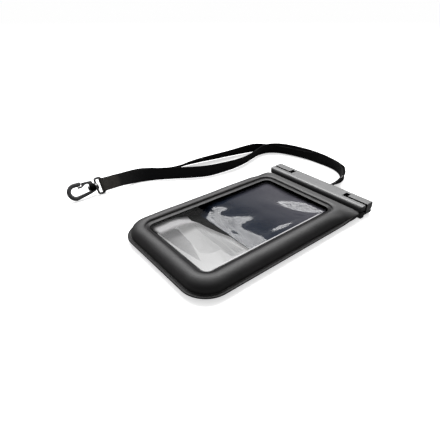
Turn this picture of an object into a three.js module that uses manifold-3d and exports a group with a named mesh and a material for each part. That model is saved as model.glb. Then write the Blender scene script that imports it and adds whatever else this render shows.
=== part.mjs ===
import * as THREE from 'three';
import { mergeVertices } from 'three/addons/utils/BufferGeometryUtils.js';
import Module from 'manifold-3d';

const wasm = await Module();
wasm.setup();

// Waterproof phone pouch, lying on its back. Millimetres, +Z up, +X across the pouch,
// +Y from its round bottom end to the clamp that closes its mouth.
// The origin is on the floor under the middle of the pouch and its clamp.

// Window and padded frame
const windowWidth = 83;
const windowLength = 147;
const windowCorner = 7;
const windowHeight = 12.9;
const frameMargin = 18.5;
const pouchCorner = 22.5;
const bandWidth = 3.5;
const bandThickness = 0.8;
const padCrest = 15.0;
const flangeWidth = 3;
const flangeHeight = 5;
const sheetThickness = 0.5;
const filmThickness = 0.4;
const cameraWindowLength = 55;
const seatGap = 0.3;

// Neck between the window and the clamp
const neckLength = 23;
const neckCorner = 6;
const mouthHeight = 7;
const neckLip = 0.6;
const neckCrown = 4.5;
const flapInset = 6.5;
const flapDepth = 13.5;

// Clamp bars and their latches
const clampInset = 0.5;
const clampDepth = 18.6;
const clampHeight = 13.6;
const noseRadius = 3;
const clampEdgeRadius = 1.6;
const clampEndBevel = 1;
const barClearance = 0.3;
const stripWidth = 3;
const stripDepth = 2;
const stripInset = 9;
const stripEndInset = 7.5;
const latchArmLength = 21.8;
const latchArmThickness = 2.2;
const latchWall = 2.4;
const latchSetback = 6.4;
const notchLength = 5;
const notchWidth = 8;
const notchDepth = 3;
const pivotHeight = 3.2;
const pivotInset = 2.5;
const knuckleRadius = 2.2;
const pinRadius = 0.9;
const pinReach = 2.4;
const earThickness = 2.6;

// Lug for the lanyard, behind the clamp
const lugSlotWidth = 2.8;
const lugSlotLength = 15.4;
const lugBarRadius = 1.5;
const lugBarHeight = 3.8;
const lugPost = 2.2;
const lugRun = 5;

// Lanyard webbing, its ring and the snap hook
const webbingWidth = 14;
const webbingThickness = 1.2;
const webbingStep = 8;
const ringBar = new THREE.Vector3(-147.4, -81.1, 8.9);
const hookHeading = -92.7;
const hookDip = 0.6;
const ringLean = 34;
const ringSpacing = 6.6;
const ringHalfLength = 8.3;
const ringCorner = 2;
const ringWire = 1.2;
const collarRadius = 3.2;
const collarLength = 3.2;
const postRadius = 1.5;
const postHeadRadius = 2.5;
const postHeadLength = 1.6;
const barrelRadius = 4.2;
const barrelLength = 5;
const swivelClearance = 0.3;
const hookRadius = 9;
const hookBar = 4.2;
const hookReach = 28.5;
const hookDepth = 4.6;
const hookBevel = 1.1;
const noseLength = 7;
const gateThickness = 1.6;
const gateDepth = 3.4;
const gateOverlap = 4;

// Places worked out from the sizes
const pouchWidth = windowWidth + 2 * frameMargin;
const clampLength = pouchWidth - 2 * clampInset;
const flapWidth = clampLength - 2 * flapInset;
const stripLength = clampLength - 2 * stripEndInset;
const lugLength = lugSlotWidth + 2 * lugBarRadius;
const totalLength = frameMargin + windowLength + neckLength + clampDepth + lugLength;
const bottomEdge = -totalLength / 2;
const windowStart = bottomEdge + frameMargin;
const windowEnd = windowStart + windowLength;
const clampFront = windowEnd + neckLength;
const clampBack = clampFront + clampDepth;
const neckEnd = clampFront - seatGap;
const flapEnd = clampFront + flapDepth;

// Materials
const blackVinyl = new THREE.MeshStandardMaterial({ color: 0x3a3a3c, roughness: 0.5, metalness: 0 });
const darkSheet = new THREE.MeshStandardMaterial({ color: 0x232936, roughness: 0.35, metalness: 0 });
const clearFilm = new THREE.MeshStandardMaterial({ color: 0xc9cdd2, roughness: 0.15, metalness: 0 });
const clampPlastic = new THREE.MeshStandardMaterial({ color: 0x4a4a4c, roughness: 0.6, metalness: 0 });
const latchPlastic = new THREE.MeshStandardMaterial({ color: 0x464648, roughness: 0.55, metalness: 0 });
const sealRubber = new THREE.MeshStandardMaterial({ color: 0x2c2c2c, roughness: 0.8, metalness: 0 });
const pinSteel = new THREE.MeshStandardMaterial({ color: 0x9a9c9e, roughness: 0.35, metalness: 1 });
const hookPlastic = new THREE.MeshStandardMaterial({ color: 0x303032, roughness: 0.45, metalness: 0 });
const webbingCloth = new THREE.MeshStandardMaterial({ color: 0x1c1c1d, roughness: 0.9, metalness: 0 });

const pouch = new THREE.Group();

function addPart(name, geometry, material) {
  const mesh = new THREE.Mesh(geometry, material);
  mesh.name = name;
  pouch.add(mesh);
  return mesh;
}

// Solids that are joined and cut
function toSolid(geometry) {
  const bare = geometry.clone();
  bare.deleteAttribute('normal');
  bare.deleteAttribute('uv');
  const merged = mergeVertices(bare, 1e-4);
  return new wasm.Manifold(new wasm.Mesh({
    numProp: 3,
    vertProperties: new Float32Array(merged.attributes.position.array),
    triVerts: new Uint32Array(merged.index.array),
  }));
}

function toGeometry(solid) {
  const mesh = solid.getMesh();
  const geometry = new THREE.BufferGeometry();
  geometry.setAttribute('position', new THREE.BufferAttribute(new Float32Array(mesh.vertProperties), 3));
  geometry.setIndex(Array.from(mesh.triVerts));
  geometry.computeVertexNormals();
  return geometry;
}

function block(x0, x1, y0, y1, z0, z1) {
  const geometry = new THREE.BoxGeometry(x1 - x0, y1 - y0, z1 - z0);
  geometry.translate((x0 + x1) / 2, (y0 + y1) / 2, (z0 + z1) / 2);
  return geometry;
}

// A round rod along Y
function rodAlongY(radius, y0, y1, x, z, sides = 20) {
  const geometry = new THREE.CylinderGeometry(radius, radius, y1 - y0, sides);
  geometry.translate(x, (y0 + y1) / 2, z);
  return geometry;
}

// Plan outline of a rounded rectangle as stations. Both outlines of the frame use the same
// number of them, so that the padding can be stretched between them.
const cornerSteps = 7;
const sideSteps = 9;

function outlineStations(halfWidth, yStart, yEnd, startRadius, endRadius) {
  const points = [];
  const corner = (cx, cy, radius, from) => {
    for (let k = 0; k <= cornerSteps; k += 1) {
      const angle = THREE.MathUtils.degToRad(from + (90 * k) / cornerSteps);
      points.push(new THREE.Vector2(cx + radius * Math.cos(angle), cy + radius * Math.sin(angle)));
    }
  };
  const side = (x, from, to) => {
    for (let k = 1; k < sideSteps; k += 1) {
      points.push(new THREE.Vector2(x, from + ((to - from) * k) / sideSteps));
    }
  };
  corner(-halfWidth + startRadius, yStart + startRadius, startRadius, 180);
  corner(halfWidth - startRadius, yStart + startRadius, startRadius, 270);
  side(halfWidth, yStart + startRadius, yEnd - endRadius);
  corner(halfWidth - endRadius, yEnd - endRadius, endRadius, 0);
  corner(-halfWidth + endRadius, yEnd - endRadius, endRadius, 90);
  side(-halfWidth, yEnd - endRadius, yStart + startRadius);
  return points;
}

// How much of the neck's section a place on the frame has: 0 on the padded rim, 1 at the clamp
function neckShare(y) {
  return THREE.MathUtils.smoothstep(y, windowEnd - windowCorner, clampFront - neckCorner);
}

function bezierPoints(start, pullA, pullB, end, steps) {
  const curve = new THREE.CubicBezierCurve(
    new THREE.Vector2(...start),
    new THREE.Vector2(...pullA),
    new THREE.Vector2(...pullB),
    new THREE.Vector2(...end),
  );
  return curve.getPoints(steps).map((p) => [p.x, p.y]);
}

// Sections of the frame, as pairs of distance outwards from the window's edge and height.
// The front one is a soft pad between the window's weld band and the rim's flange.
const padStart = bandWidth + 0.5;
const padEnd = frameMargin - flangeWidth;
const padSteps = 8;
const crestPull = 1.8;
const shoulderPull = 0.8;
const neckReach = neckLength - seatGap;

function frontSection(share) {
  const split = THREE.MathUtils.lerp(flangeHeight, mouthHeight, share) + seatGap / 2;
  const outerEnd = THREE.MathUtils.lerp(frameMargin, neckReach, share);
  const outerStart = THREE.MathUtils.lerp(padEnd, neckReach, share);
  const rimTop = split + THREE.MathUtils.lerp(sheetThickness, 2 * neckLip, share);
  const slopePull = THREE.MathUtils.lerp(padCrest + shoulderPull, rimTop + neckCrown, share);
  const pad = bezierPoints(
    [padStart, windowHeight],
    [padStart + 1.8, padCrest + crestPull],
    [outerStart + THREE.MathUtils.lerp(0.4, -7, share), slopePull],
    [outerStart - 0.02, rimTop + 0.02],
    padSteps,
  );
  return [
    [0, windowHeight],
    ...pad,
    [outerEnd, rimTop],
    [outerEnd, split],
    [bandWidth, split],
    [bandWidth, windowHeight - bandThickness],
    [0, windowHeight - bandThickness],
  ];
}

const flatPadEnd = 9.5;
const rearSteps = 6;

function rearSection(share) {
  const split = THREE.MathUtils.lerp(flangeHeight, mouthHeight, share) - seatGap / 2;
  const outerEnd = THREE.MathUtils.lerp(frameMargin, neckReach, share);
  const outerStart = THREE.MathUtils.lerp(padEnd, neckReach - 0.02, share);
  const rimBottom = split - THREE.MathUtils.lerp(sheetThickness, neckLip, share);
  const belly = [];
  for (let k = 1; k < rearSteps; k += 1) {
    const angle = (Math.PI / 2) * (k / rearSteps);
    belly.push([
      outerStart - (outerStart - flatPadEnd) * (1 - Math.cos(angle)),
      rimBottom * (1 - Math.sin(angle)),
    ]);
  }
  return [
    [0, bandThickness],
    [bandWidth, bandThickness],
    [bandWidth, split],
    [outerEnd, split],
    [outerEnd, rimBottom],
    ...belly,
    [flatPadEnd, 0],
    [0, 0],
  ];
}

// A closed ring: the section's weld band runs parallel to the window, and the rest is
// stretched from the band to the pouch's outline
function windowStations(offset) {
  return outlineStations(
    windowWidth / 2 + offset, windowStart - offset, windowEnd + offset,
    windowCorner + offset, windowCorner + offset,
  );
}

const innerStations = windowStations(0);
const bandStations = windowStations(bandWidth);
const outerStations = outlineStations(pouchWidth / 2, bottomEdge, neckEnd, pouchCorner, neckCorner);

function frameRing(section) {
  const rows = outerStations.map((outer, i) => {
    const share = neckShare(outer.y);
    const reach = THREE.MathUtils.lerp(frameMargin, neckReach, share);
    return section(share).map(([out, z]) => {
      const onBand = out <= bandWidth;
      const from = onBand ? innerStations[i] : bandStations[i];
      const to = onBand ? bandStations[i] : outer;
      const place = onBand ? out / bandWidth : (out - bandWidth) / (reach - bandWidth);
      const plan = from.clone().lerp(to, place);
      return [plan.x, plan.y, z];
    });
  });
  return ringOfRows(rows);
}

// Joins rows of points into a closed ring of triangles with its faces outwards
function ringOfRows(rows) {
  const around = rows.length;
  const across = rows[0].length;
  const index = [];
  for (let i = 0; i < around; i += 1) {
    const next = (i + 1) % around;
    for (let j = 0; j < across; j += 1) {
      const beside = (j + 1) % across;
      const a = i * across + j;
      const b = next * across + j;
      const c = next * across + beside;
      const d = i * across + beside;
      index.push(a, c, b, a, d, c);
    }
  }
  const geometry = new THREE.BufferGeometry();
  geometry.setAttribute('position', new THREE.Float32BufferAttribute(rows.flat(2), 3));
  geometry.setIndex(index);
  return geometry;
}

function frameWithFlap(section, flapTop) {
  const ring = toSolid(frameRing(section));
  const overlap = 0.4;
  const flap = toSolid(block(
    -flapWidth / 2,
    flapWidth / 2,
    neckEnd - overlap,
    flapEnd,
    flapTop - sheetThickness,
    flapTop,
  ));
  return toGeometry(ring.add(flap));
}

addPart(
  'front_frame',
  frameWithFlap(frontSection, mouthHeight + seatGap / 2 + sheetThickness),
  blackVinyl,
);
addPart('rear_frame', frameWithFlap(rearSection, mouthHeight - seatGap / 2), blackVinyl);

// Sheets welded to the frame's bands: the clear front window, and the back of the pouch,
// which is opaque but for a clear part at the bottom end for the phone's camera
function roundedPlate(halfWidth, y0, y1, radius0, radius1, z, thickness) {
  const shape = new THREE.Shape();
  shape.moveTo(-halfWidth + radius0, y0);
  shape.lineTo(halfWidth - radius0, y0);
  if (radius0 > 0) shape.absarc(halfWidth - radius0, y0 + radius0, radius0, -Math.PI / 2, 0, false);
  shape.lineTo(halfWidth, y1 - radius1);
  if (radius1 > 0) shape.absarc(halfWidth - radius1, y1 - radius1, radius1, 0, Math.PI / 2, false);
  shape.lineTo(-halfWidth + radius1, y1);
  if (radius1 > 0) shape.absarc(-halfWidth + radius1, y1 - radius1, radius1, Math.PI / 2, Math.PI, false);
  shape.lineTo(-halfWidth, y0 + radius0);
  if (radius0 > 0) shape.absarc(-halfWidth + radius0, y0 + radius0, radius0, Math.PI, 1.5 * Math.PI, false);
  const settings = { depth: thickness, bevelEnabled: false, curveSegments: 6 };
  const geometry = new THREE.ExtrudeGeometry(shape, settings);
  geometry.translate(0, 0, z);
  return geometry;
}

const filmTuck = bandWidth - seatGap;
const filmHalfWidth = windowWidth / 2 + filmTuck;
const filmCorner = windowCorner + filmTuck;
const windowFilmBase = windowHeight - bandThickness - seatGap - filmThickness;
const panelBase = bandThickness + seatGap;
const cameraWindowEnd = windowStart + cameraWindowLength;

addPart(
  'front_window',
  roundedPlate(
    filmHalfWidth, windowStart - filmTuck, windowEnd + filmTuck,
    filmCorner, filmCorner, windowFilmBase, filmThickness,
  ),
  clearFilm,
);
addPart(
  'rear_camera_window',
  roundedPlate(
    filmHalfWidth, windowStart - filmTuck, cameraWindowEnd - seatGap,
    filmCorner, 0, panelBase, filmThickness,
  ),
  clearFilm,
);
addPart(
  'rear_panel',
  roundedPlate(
    filmHalfWidth, cameraWindowEnd, windowEnd + filmTuck,
    0, filmCorner, panelBase, filmThickness,
  ),
  darkSheet,
);

// Clamp: the outer form that both bars and the latches share, extruded along X
function clampForm(halfLength) {
  const shape = new THREE.Shape();
  const nose = noseRadius;
  const edge = clampEdgeRadius;
  shape.moveTo(clampFront + nose, 0);
  shape.lineTo(clampBack - edge, 0);
  shape.absarc(clampBack - edge, edge, edge, -Math.PI / 2, 0, false);
  shape.lineTo(clampBack, clampHeight - edge);
  shape.absarc(clampBack - edge, clampHeight - edge, edge, 0, Math.PI / 2, false);
  shape.lineTo(clampFront + nose, clampHeight);
  shape.absarc(clampFront + nose, clampHeight - nose, nose, Math.PI / 2, Math.PI, false);
  shape.lineTo(clampFront, nose);
  shape.absarc(clampFront + nose, nose, nose, Math.PI, 1.5 * Math.PI, false);
  const geometry = new THREE.ExtrudeGeometry(shape, {
    depth: 2 * (halfLength - clampEndBevel),
    bevelSize: clampEndBevel,
    bevelOffset: -clampEndBevel,
    bevelThickness: clampEndBevel,
    bevelSegments: 3,
    curveSegments: 6,
  });
  geometry.translate(0, 0, -(halfLength - clampEndBevel));
  // the section was drawn in Y and Z, so its X, Y and depth become Y, Z and X
  geometry.applyMatrix4(new THREE.Matrix4().set(0, 0, 1, 0, 1, 0, 0, 0, 0, 1, 0, 0, 0, 0, 0, 1));
  return toSolid(geometry);
}

const clampHalf = clampLength / 2;
const clamp = clampForm(clampHalf);
const upperFace = mouthHeight + seatGap / 2 + sheetThickness + seatGap;
const lowerFace = mouthHeight - seatGap / 2 - sheetThickness - seatGap;
const armBase = clampHeight - latchArmThickness;
const latchFront = clampFront + latchSetback;
const latchInnerEnd = clampHalf - latchArmLength;
const wallInside = clampHalf - latchWall;
const pivotX = clampHalf - pivotInset;
const earFront = clampBack - earThickness;
const knuckleEnd = earFront - barClearance;
const past = 2;

// Builds in the right-hand end's place, or mirrored for the left-hand one
function atEnd(side, solid) {
  return side > 0 ? solid : solid.mirror([1, 0, 0]);
}

const stripMiddle = clampFront + stripInset;
const grooveHalf = stripWidth / 2 + barClearance;
const grooveDepth = stripDepth + barClearance;

function stripGroove(z0, z1) {
  return toSolid(block(
    -stripLength / 2 - barClearance, stripLength / 2 + barClearance,
    stripMiddle - grooveHalf, stripMiddle + grooveHalf, z0, z1,
  ));
}

// Front bar, on the window's side: seats for the latches' arms and a finger notch beside each
function frontClampBar() {
  let bar = clamp.intersect(toSolid(block(
    -clampLength, clampLength, clampFront - past, clampBack + past, upperFace, clampHeight + past,
  )));
  for (const side of [-1, 1]) {
    const armSeat = toSolid(block(
      latchInnerEnd - barClearance, clampHalf + past,
      latchFront - barClearance, clampBack + past,
      armBase - barClearance, clampHeight + past,
    ));
    const wallSeat = toSolid(block(
      wallInside - barClearance, clampHalf + past,
      latchFront - barClearance, clampBack + past,
      upperFace - past, clampHeight + past,
    ));
    const notch = toSolid(block(
      latchInnerEnd - notchLength, latchInnerEnd + past,
      latchFront - barClearance, latchFront - barClearance + notchWidth,
      clampHeight - notchDepth, clampHeight + past,
    ));
    for (const cut of [armSeat, wallSeat, notch]) bar = bar.subtract(atEnd(side, cut));
  }
  return bar.subtract(stripGroove(upperFace - past, upperFace + grooveDepth));
}

// Lug: a round bar on two posts across the middle of the rear clamp bar, for the webbing
function lug() {
  const barMiddle = clampBack + lugLength - lugBarRadius;
  const halfSlot = lugSlotLength / 2;
  const bar = new THREE.CylinderGeometry(lugBarRadius, lugBarRadius, lugSlotLength + lugPost, 20);
  bar.rotateZ(Math.PI / 2);
  bar.translate(0, barMiddle, lugBarHeight);
  const post = toSolid(block(
    halfSlot, halfSlot + lugPost,
    clampBack - past, clampBack + lugLength,
    lugBarHeight - lugBarRadius, lugBarHeight + lugBarRadius,
  ));
  return toSolid(bar).add(atEnd(1, post)).add(atEnd(-1, post));
}

// Rear bar, which the pouch rests on: slots for the latches' knuckles, ears and pin holes
function rearClampBar() {
  let bar = clamp.intersect(toSolid(block(
    -clampLength, clampLength, clampFront - past, clampBack + past, -past, lowerFace,
  ))).add(lug());
  for (const side of [-1, 1]) {
    const knuckleSlot = toSolid(block(
      pivotX - knuckleRadius - barClearance, clampHalf + past,
      latchFront - barClearance, earFront,
      -past, lowerFace + past,
    ));
    const earRound = toSolid(rodAlongY(
      knuckleRadius + barClearance, earFront - past, clampBack + past, pivotX, pivotHeight,
    ));
    const earTrim = toSolid(block(
      pivotX, clampHalf + past, earFront - past / 4, clampBack + past, -past, lowerFace + past,
    )).subtract(earRound);
    const pinHole = toSolid(rodAlongY(
      pinRadius + barClearance,
      latchFront - pinReach - barClearance,
      clampBack - earThickness + pinReach,
      pivotX,
      pivotHeight,
    ));
    for (const cut of [knuckleSlot, earTrim, pinHole]) bar = bar.subtract(atEnd(side, cut));
  }
  return bar.subtract(stripGroove(lowerFace - grooveDepth, lowerFace + past));
}

addPart('front_clamp_bar', toGeometry(frontClampBar()), clampPlastic);
addPart('rear_clamp_bar', toGeometry(rearClampBar()), clampPlastic);

// Rubber strips that press the mouth's two sheets together
function sealingStrip(z0) {
  return block(
    -stripLength / 2, stripLength / 2,
    stripMiddle - stripWidth / 2, stripMiddle + stripWidth / 2,
    z0, z0 + stripDepth,
  );
}

addPart('front_sealing_strip', sealingStrip(upperFace), sealRubber);
addPart('rear_sealing_strip', sealingStrip(lowerFace - stripDepth), sealRubber);

// Latches: an arm over the front bar, an end wall, and a knuckle on a pin in the rear bar
function latch() {
  const arm = block(
    latchInnerEnd, clampHalf + past, latchFront, clampBack + past,
    armBase, clampHeight + past,
  );
  const wall = block(
    wallInside, clampHalf + past, latchFront, clampBack + past,
    lowerFace + barClearance, clampHeight + past,
  );
  const shank = block(
    wallInside, clampHalf + past, latchFront, knuckleEnd,
    pivotHeight, clampHeight + past,
  );
  const body = toSolid(arm).add(toSolid(wall)).add(toSolid(shank)).intersect(clamp);
  const knuckle = toSolid(rodAlongY(knuckleRadius, latchFront, knuckleEnd, pivotX, pivotHeight));
  const bore = toSolid(rodAlongY(
    pinRadius + barClearance, latchFront - past, knuckleEnd + past, pivotX, pivotHeight,
  ));
  return body.add(knuckle).subtract(bore);
}

function latchPin() {
  const pinEnd = earFront + pinReach - barClearance;
  return rodAlongY(pinRadius, latchFront - pinReach, pinEnd, pivotX, pivotHeight, 16);
}

for (const [side, name] of [[-1, 'left'], [1, 'right']]) {
  addPart(`${name}_latch`, toGeometry(atEnd(side, latch())), latchPlastic);
  addPart(`${name}_latch_pin`, toGeometry(atEnd(side, toSolid(latchPin()))), pinSteel);
}

// Snap hook and its ring. They are drawn flat, with x along the hook, y along the ring's bar
// and z across both, and are then stood where the end of the webbing holds them.
const heading = THREE.MathUtils.degToRad(hookHeading);
const dip = THREE.MathUtils.degToRad(hookDip);
const lean = THREE.MathUtils.degToRad(ringLean);
const hookAlong = new THREE.Vector3(
  Math.cos(heading) * Math.cos(dip),
  Math.sin(heading) * Math.cos(dip),
  -Math.sin(dip),
);
const hookLevel = new THREE.Vector3(Math.sin(heading), -Math.cos(heading), 0);
const hookUpright = new THREE.Vector3().crossVectors(hookLevel, hookAlong);
const hookWide = hookLevel.clone().multiplyScalar(Math.sin(lean));
hookWide.addScaledVector(hookUpright, Math.cos(lean));
const hookAcross = new THREE.Vector3().crossVectors(hookAlong, hookWide);
const hookPlace = new THREE.Matrix4().makeBasis(hookAlong, hookWide, hookAcross).setPosition(ringBar);

function placed(solid) {
  return toGeometry(solid).applyMatrix4(hookPlace);
}

function rodAlongX(radius, x0, x1, sides = 20) {
  const geometry = new THREE.CylinderGeometry(radius, radius, x1 - x0, sides);
  geometry.rotateZ(Math.PI / 2);
  geometry.translate((x0 + x1) / 2, 0, 0);
  return toSolid(geometry);
}

// Ring: a wire bent to a rounded loop, one long side in the webbing's fold
function ringLoop() {
  const side = ringHalfLength - ringCorner;
  const far = ringSpacing - ringCorner;
  const quarter = Math.PI / 2;
  const path = new THREE.Path();
  path.moveTo(0, -side);
  path.lineTo(0, side);
  path.absarc(ringCorner, side, ringCorner, 2 * quarter, quarter, true);
  path.lineTo(far, ringHalfLength);
  path.absarc(far, side, ringCorner, quarter, 0, true);
  path.lineTo(ringSpacing, -side);
  path.absarc(far, -side, ringCorner, 0, -quarter, true);
  path.lineTo(ringCorner, -ringHalfLength);
  path.absarc(ringCorner, -side, ringCorner, -quarter, -2 * quarter, true);
  const steps = 48;
  const sides = 10;
  const points = path.getSpacedPoints(steps).slice(0, steps);
  const rows = points.map((centre, i) => {
    const along = points[(i + 1) % steps].clone().sub(points[(i + steps - 1) % steps]).normalize();
    const row = [];
    for (let k = 0; k < sides; k += 1) {
      const angle = (2 * Math.PI * k) / sides;
      const out = ringWire * Math.cos(angle);
      row.push([centre.x - along.y * out, centre.y + along.x * out, ringWire * Math.sin(angle)]);
    }
    return row;
  });
  return toSolid(ringOfRows(rows));
}

const collarStart = ringSpacing - collarLength / 2;
const collarEnd = collarStart + collarLength;
const barrelStart = collarEnd + swivelClearance;
const barrelEnd = barrelStart + barrelLength;
const headStart = barrelEnd + swivelClearance;

addPart(
  'swivel_ring',
  placed(
    ringLoop()
      .add(rodAlongX(collarRadius, collarStart, collarEnd))
      .add(rodAlongX(postRadius, collarEnd - 0.5, headStart + 0.5))
      .add(rodAlongX(postHeadRadius, headStart, headStart + postHeadLength)),
  ),
  hookPlastic,
);

// Hook: a moulded loop with its springy gate under the nose, all in one with the barrel
function hookOutline() {
  const inner = hookRadius - hookBar;
  const noseTip = hookReach - noseLength;
  const shape = new THREE.Shape();
  shape.moveTo(barrelStart, -barrelRadius + 0.4);
  shape.lineTo(barrelEnd - 1.5, -hookRadius + 1.2);
  shape.quadraticCurveTo(barrelEnd - 0.4, -hookRadius, barrelEnd + 1.2, -hookRadius);
  shape.lineTo(hookReach, -hookRadius);
  shape.absarc(hookReach, 0, hookRadius, -Math.PI / 2, Math.PI / 2, false);
  shape.lineTo(noseTip + 1, hookRadius);
  shape.quadraticCurveTo(noseTip - 0.6, hookRadius - 0.4, noseTip, inner + 1.4);
  shape.lineTo(noseTip + 1, inner);
  shape.lineTo(hookReach, inner);
  shape.absarc(hookReach, 0, inner, Math.PI / 2, -Math.PI / 2, true);
  shape.lineTo(barrelEnd + 2.6, -inner);
  shape.quadraticCurveTo(barrelEnd, -inner, barrelEnd, -inner + 2.2);
  shape.lineTo(barrelEnd, barrelRadius - 0.6);
  shape.lineTo(barrelStart, barrelRadius - 0.4);
  return shape;
}

function gateOutline() {
  const inner = hookRadius - hookBar;
  const noseTip = hookReach - noseLength;
  const gateTop = inner - 0.5;
  const shape = new THREE.Shape();
  shape.moveTo(barrelStart + 0.6, barrelRadius - 1.4);
  shape.lineTo(barrelStart + 1.6, hookRadius - 2.2);
  shape.quadraticCurveTo(barrelEnd + 1.6, hookRadius - 0.4, noseTip - 2, gateTop + 0.9);
  shape.quadraticCurveTo(noseTip - 0.6, gateTop, noseTip + 1, gateTop);
  shape.lineTo(noseTip + gateOverlap, gateTop);
  shape.lineTo(noseTip + gateOverlap, gateTop - gateThickness);
  shape.lineTo(noseTip + 0.6, gateTop - gateThickness);
  shape.quadraticCurveTo(noseTip - 2.4, gateTop - gateThickness + 0.4, barrelEnd + 1.4, gateTop + 0.6);
  shape.quadraticCurveTo(barrelEnd, gateTop + 0.6, barrelEnd - 0.5, barrelRadius - 1.4);
  return shape;
}

function moulded(shape, depth, bevel) {
  const geometry = new THREE.ExtrudeGeometry(shape, {
    depth: depth - 2 * bevel,
    bevelSize: bevel,
    bevelOffset: -bevel,
    bevelThickness: bevel,
    bevelSegments: 2,
    curveSegments: 10,
  });
  geometry.translate(0, 0, -depth / 2 + bevel);
  return toSolid(geometry);
}

const hookHole = rodAlongX(postRadius + swivelClearance, barrelStart - past, barrelEnd + past);
addPart(
  'snap_hook',
  placed(
    moulded(hookOutline(), hookDepth, hookBevel)
      .add(moulded(gateOutline(), gateDepth, 0.4))
      .add(rodAlongX(barrelRadius, barrelStart, barrelEnd, 24))
      .subtract(hookHole),
  ),
  hookPlastic,
);

// Lanyard: one strip of webbing sewn into a loop. It goes round the lug's bar and the
// ring's bar, and stands on edge between them. Each row is the place of its lower edge on
// the floor and how far the strip leans from upright, in degrees, to the left of the way
// from the lug to the ring.
const outerRoute = [
  [-4.5, 115, -64],
  [-1, 123, -42],
  [0.8, 132, -20],
  [-1, 141.5, 0],
  [-5, 149.3, 9],
  [-12, 155.3, 17],
  [-20, 160.3, 22],
  [-32, 163, 22],
  [-46, 165, 28],
  [-60, 165.6, 37],
  [-74, 164.5, 44],
  [-91, 159.5, 44],
  [-108, 150.5, 40],
  [-120, 137.5, 30],
  [-129, 122, 20],
  [-134, 104, 26],
  [-138, 86, 35],
  [-142, 65, 40],
  [-146, 45, 45],
  [-148.5, 28, 50],
  [-149, 13, 55],
  [-150, 0, 53],
  [-151.5, -13, 44],
  [-150.5, -26, 24],
  [-148, -38, -6],
];
const innerRoute = [
  [-6, 113, -74],
  [-3.5, 120.5, -50],
  [-1.6, 130.5, -24],
  [-4, 140.3, -2],
  [-9, 147.8, 8],
  [-16, 153.4, 14],
  [-24, 157.2, 14],
  [-33, 158.8, 8],
  [-46, 159, 2],
  [-66, 158, 0],
  [-87.5, 153, 0],
  [-105, 145, 4],
  [-114, 134, 10],
  [-115.5, 120, 16],
  [-112, 104, 22],
  [-107, 86, 22],
  [-104.5, 68, 18],
  [-104.5, 50, 10],
  [-107, 30, 2],
  [-115.5, 12, 0],
  [-126, -5, -5],
  [-136, -22, -12],
  [-142.5, -38, -20],
];

const floorGap = 0.4;
const upward = new THREE.Vector3(0, 0, 1);

// Middle line and edge direction of the strip where it stands on the floor
function routeStations(rows) {
  return rows.map(([x, y, leanAngle], i) => {
    const before = rows[Math.max(i - 1, 0)];
    const after = rows[Math.min(i + 1, rows.length - 1)];
    const along = new THREE.Vector3(after[0] - before[0], after[1] - before[1], 0).normalize();
    const left = new THREE.Vector3().crossVectors(upward, along);
    const angle = THREE.MathUtils.degToRad(leanAngle);
    const edge = upward.clone().multiplyScalar(Math.cos(angle)).addScaledVector(left, Math.sin(angle));
    const lift = floorGap + (webbingThickness / 2) * Math.abs(Math.sin(angle));
    const middle = new THREE.Vector3(x, y, lift).addScaledVector(edge, webbingWidth / 2);
    return { middle, edge };
  });
}

// Where the strip goes round the lug's bar, from the slot over the top and out, and back under
const lugMiddleY = clampBack + lugLength - lugBarRadius;
const lugTurn = lugBarRadius + seatGap + webbingThickness / 2;
const lugStation = (y, z) => ({ middle: new THREE.Vector3(0, y, z), edge: new THREE.Vector3(1, 0, 0) });
const lugTurnStation = (degrees) => {
  const angle = THREE.MathUtils.degToRad(degrees);
  return lugStation(lugMiddleY + lugTurn * Math.cos(angle), lugBarHeight + lugTurn * Math.sin(angle));
};
const overLug = [
  ...[180, 135, 90].map(lugTurnStation),
  lugStation(lugMiddleY + lugRun, lugBarHeight + lugTurn),
];
const underLug = [
  lugStation(lugMiddleY + lugRun, lugBarHeight - lugTurn),
  ...[270, 225].map(lugTurnStation),
];

// Where it goes round the ring's bar, with its two ends sewn together behind the fold
const sewnGap = webbingThickness / 2 + 0.2;
const foldRadius = ringWire + seatGap + webbingThickness / 2;
const ringStation = (back, across) => ({
  middle: ringBar.clone().addScaledVector(hookAlong, -back).addScaledVector(hookAcross, across),
  edge: hookWide.clone(),
});
const foldStation = (degrees) => {
  const angle = THREE.MathUtils.degToRad(degrees);
  return ringStation(-foldRadius * Math.cos(angle), foldRadius * Math.sin(angle));
};
const sewnEnd = [[17, sewnGap], [10, sewnGap], [4.5, sewnGap + 0.4]];
const roundRing = [
  ...sewnEnd.map(([back, across]) => ringStation(back, across)),
  ...[100, 50, 0, -50, -100].map(foldStation),
  ...sewnEnd.map(([back, across]) => ringStation(back, -across)).reverse(),
];

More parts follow.
